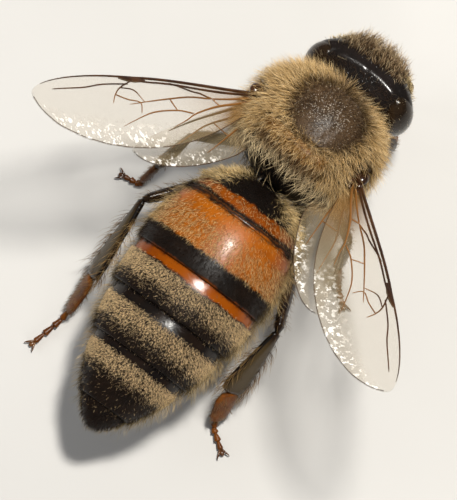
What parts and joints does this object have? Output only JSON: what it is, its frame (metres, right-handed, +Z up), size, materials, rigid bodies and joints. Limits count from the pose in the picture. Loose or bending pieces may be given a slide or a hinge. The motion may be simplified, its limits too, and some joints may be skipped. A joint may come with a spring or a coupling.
{
  "type": "honey bee worker, standing with raised wings",
  "caption": "Life-size worker honey bee with a furry thorax, orange and black banded abdomen and clear veined wings held half open, standing on its six feet",
  "frame": {"origin": "on the floor at the middle of the bounding box", "axes": "the bee faces -Y, its left side is +X, and +Z is up; its feet rest at z = 0"},
  "size_m": [0.0136, 0.0144, 0.0098],
  "materials": {
    "coat": "dense golden-brown hair over dark brown cuticle",
    "shell_orange": "glossy orange cuticle with short golden hair",
    "shell_banded": "dark cuticle with bands of tan felt and a glossy front edge",
    "shell_black": "glossy black-brown cuticle",
    "eye": "polished black compound eye",
    "leg": "dark olive-brown cuticle with fringes of pale hair",
    "foot": "orange-brown cuticle",
    "wing": "clear amber membrane with brown veins"
  },
  "bodies": {
    "root": {"abdomen_1": "shell_orange", "abdomen_2": "shell_orange", "abdomen_3": "shell_banded", "abdomen_4": "shell_banded", "abdomen_5": "shell_black", "abdomen_6": "shell_black", "eye_left": "eye", "eye_right": "eye", "flagellum_left": "shell_black", "flagellum_right": "shell_black", "forewing_left": "wing", "forewing_right": "wing", "front_coxa_left": "leg", "front_coxa_right": "leg", "front_femur_left": "leg", "front_femur_right": "leg", "front_tarsus_left": "foot", "front_tarsus_right": "foot", "front_tibia_left": "leg", "front_tibia_right": "leg", "head": "coat", "hind_coxa_left": "leg", "hind_coxa_right": "leg", "hind_femur_left": "leg", "hind_femur_right": "leg", "hind_tarsus_left": "foot", "hind_tarsus_right": "foot", "hind_tibia_left": "leg", "hind_tibia_right": "leg", "hindwing_left": "wing", "hindwing_right": "wing", "mandible_left": "foot", "mandible_right": "foot", "mesothorax": "coat", "metathorax": "coat", "middle_coxa_left": "leg", "middle_coxa_right": "leg", "middle_femur_left": "leg", "middle_femur_right": "leg", "middle_tarsus_left": "foot", "middle_tarsus_right": "foot", "middle_tibia_left": "leg", "middle_tibia_right": "leg", "petiole": "shell_black", "proboscis": "foot", "pronotum": "coat", "propodeum": "coat", "scape_left": "shell_black", "scape_right": "shell_black", "scutellum": "coat", "tegula_left": "shell_black", "tegula_right": "shell_black", "thorax_sides": "coat"}
  },
  "joints": []
}
